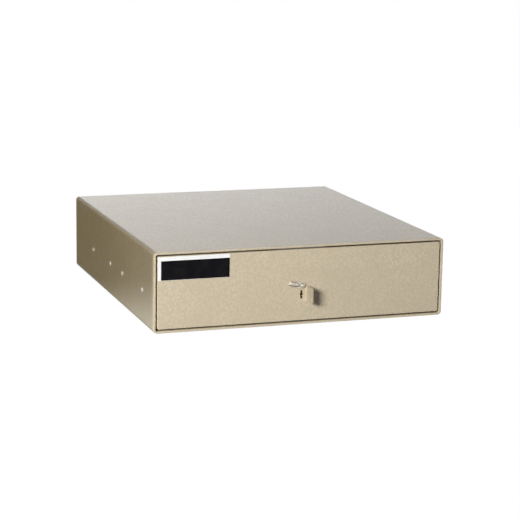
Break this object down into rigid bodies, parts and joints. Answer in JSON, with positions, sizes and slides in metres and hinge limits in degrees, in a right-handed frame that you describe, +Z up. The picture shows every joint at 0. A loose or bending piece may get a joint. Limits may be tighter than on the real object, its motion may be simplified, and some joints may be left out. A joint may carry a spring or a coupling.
{
  "type": "under desk drawer safe",
  "caption": "Flat steel drawer safe: a sheet casing with a lockable drawer on telescopic ball slides, a lever lock, a swinging keyhole cover and a small finger pull.",
  "frame": {"origin": "centre of the casing's underside", "axes": "+Z up, -Y out of the drawer's front, +X to the right as seen from the front"},
  "size_m": [0.403, 0.4502, 0.105],
  "materials": {
    "hammer_paint": "beige hammer-effect enamel, semi-gloss",
    "tray_paint": "beige powder coat, satin",
    "zinc_plate": "bright zinc plate",
    "nickel": "nickel plate, polished",
    "spring_steel": "tempered spring steel",
    "brass": "machined brass",
    "rubber": "matt black rubber"
  },
  "bodies": {
    "casing": {"casing_sleeve": "hammer_paint", "rear_panel": "hammer_paint", "bolt_keep": "zinc_plate", "left_slide_outer_member": "zinc_plate", "left_slide_buffer": "rubber", "left_slide_rivet_1": "zinc_plate", "left_slide_rivet_2": "zinc_plate", "left_slide_rivet_3": "zinc_plate", "left_slide_rivet_4": "zinc_plate", "right_slide_outer_member": "zinc_plate", "right_slide_buffer": "rubber", "right_slide_rivet_1": "zinc_plate", "right_slide_rivet_2": "zinc_plate", "right_slide_rivet_3": "zinc_plate", "right_slide_rivet_4": "zinc_plate"},
    "drawer": {"drawer_front": "hammer_paint", "drawer_tray": "tray_paint", "tray_front_wall": "tray_paint", "tray_rear_wall": "tray_paint", "finger_pull": "hammer_paint", "left_slide_drawer_member": "zinc_plate", "left_slide_screw_1": "zinc_plate", "left_slide_screw_2": "zinc_plate", "left_slide_screw_3": "zinc_plate", "right_slide_drawer_member": "zinc_plate", "right_slide_screw_1": "zinc_plate", "right_slide_screw_2": "zinc_plate", "right_slide_screw_3": "zinc_plate", "front_nut_1": "zinc_plate", "front_nut_2": "zinc_plate", "front_nut_3": "zinc_plate", "front_nut_4": "zinc_plate", "cover_spring_washer": "spring_steel", "cover_rivet": "nickel", "lock_case": "zinc_plate", "lock_cap": "zinc_plate", "lock_screw_1": "zinc_plate", "lock_screw_2": "zinc_plate", "lock_screw_3": "zinc_plate", "lock_screw_4": "zinc_plate", "lever_post": "spring_steel", "lever_springs": "spring_steel"},
    "left_middle": {"left_slide_middle_member": "zinc_plate"},
    "right_middle": {"right_slide_middle_member": "zinc_plate"},
    "left_outer_balls": {"left_outer_ball_cage": "zinc_plate"},
    "left_inner_balls": {"left_inner_ball_cage": "zinc_plate"},
    "right_outer_balls": {"right_outer_ball_cage": "zinc_plate"},
    "right_inner_balls": {"right_inner_ball_cage": "zinc_plate"},
    "cover": {"keyhole_cover": "nickel"},
    "bolt": {"lock_bolt": "brass"},
    "drum": {"key_drum": "brass"},
    "lever_a": {"lever_1": "brass"},
    "lever_b": {"lever_2": "brass"},
    "lever_c": {"lever_3": "brass"},
    "lever_d": {"lever_4": "brass"},
    "lever_e": {"lever_5": "brass"},
    "lever_f": {"lever_6": "brass"}
  },
  "joints": [
    {"name": "drawer_slide", "type": "slide", "parent": "casing", "child": "drawer", "axis": [0, -1, 0], "range_m": [0, 0.36]},
    {"name": "left_middle_slide", "type": "slide", "parent": "casing", "child": "left_middle", "axis": [0, -1, 0], "range_m": [0, 0.18]},
    {"name": "right_middle_slide", "type": "slide", "parent": "casing", "child": "right_middle", "axis": [0, -1, 0], "range_m": [0, 0.18]},
    {"name": "left_outer_ball_slide", "type": "slide", "parent": "casing", "child": "left_outer_balls", "axis": [0, -1, 0], "range_m": [0, 0.09]},
    {"name": "left_inner_ball_slide", "type": "slide", "parent": "casing", "child": "left_inner_balls", "axis": [0, -1, 0], "range_m": [0, 0.27]},
    {"name": "right_outer_ball_slide", "type": "slide", "parent": "casing", "child": "right_outer_balls", "axis": [0, -1, 0], "range_m": [0, 0.09]},
    {"name": "right_inner_ball_slide", "type": "slide", "parent": "casing", "child": "right_inner_balls", "axis": [0, -1, 0], "range_m": [0, 0.27]},
    {"name": "cover_swing", "type": "hinge", "parent": "drawer", "child": "cover", "pos_m": [0, -0.2159, 0.05203], "axis": [0, -1, 0], "range_deg": [0, 102]},
    {"name": "key_turn", "type": "hinge", "parent": "drawer", "child": "drum", "pos_m": [0, -0.2, 0.03968], "axis": [0, -1, 0], "range_deg": [0, 180]},
    {"name": "bolt_slide", "type": "slide", "parent": "drawer", "child": "bolt", "axis": [0, 0, 1], "range_m": [0, 0.0085]},
    {"name": "lever_1_fall", "type": "hinge", "parent": "drawer", "child": "lever_a", "pos_m": [0, -0.2, 0.07096], "axis": [0, 1, 0], "range_deg": [0, 2.5]},
    {"name": "lever_2_fall", "type": "hinge", "parent": "drawer", "child": "lever_b", "pos_m": [0, -0.2, 0.07096], "axis": [0, 1, 0], "range_deg": [0, 1.76]},
    {"name": "lever_3_fall", "type": "hinge", "parent": "drawer", "child": "lever_c", "pos_m": [0, -0.2, 0.07096], "axis": [0, 1, 0], "range_deg": [0, 2.76]},
    {"name": "lever_4_fall", "type": "hinge", "parent": "drawer", "child": "lever_d", "pos_m": [0, -0.2, 0.07096], "axis": [0, 1, 0], "range_deg": [0, 2.01]},
    {"name": "lever_5_fall", "type": "hinge", "parent": "drawer", "child": "lever_e", "pos_m": [0, -0.2, 0.07096], "axis": [0, 1, 0], "range_deg": [0, 2.63]},
    {"name": "lever_6_fall", "type": "hinge", "parent": "drawer", "child": "lever_f", "pos_m": [0, -0.2, 0.07096], "axis": [0, 1, 0], "range_deg": [0, 2.26]}
  ],
  "couplings": [
    {"joint": "left_middle_slide", "follows": "drawer_slide", "ratio": 0.5},
    {"joint": "right_middle_slide", "follows": "drawer_slide", "ratio": 0.5},
    {"joint": "left_outer_ball_slide", "follows": "drawer_slide", "ratio": 0.25},
    {"joint": "left_inner_ball_slide", "follows": "drawer_slide", "ratio": 0.75},
    {"joint": "right_outer_ball_slide", "follows": "drawer_slide", "ratio": 0.25},
    {"joint": "right_inner_ball_slide", "follows": "drawer_slide", "ratio": 0.75},
    {"joint": "key_turn", "follows": "bolt_slide", "rad_per_m": 369.59},
    {"joint": "lever_2_fall", "follows": "lever_1_fall", "ratio": 0.7},
    {"joint": "lever_3_fall", "follows": "lever_1_fall", "ratio": 1.1},
    {"joint": "lever_4_fall", "follows": "lever_1_fall", "ratio": 0.8},
    {"joint": "lever_5_fall", "follows": "lever_1_fall", "ratio": 1.05},
    {"joint": "lever_6_fall", "follows": "lever_1_fall", "ratio": 0.9}
  ]
}
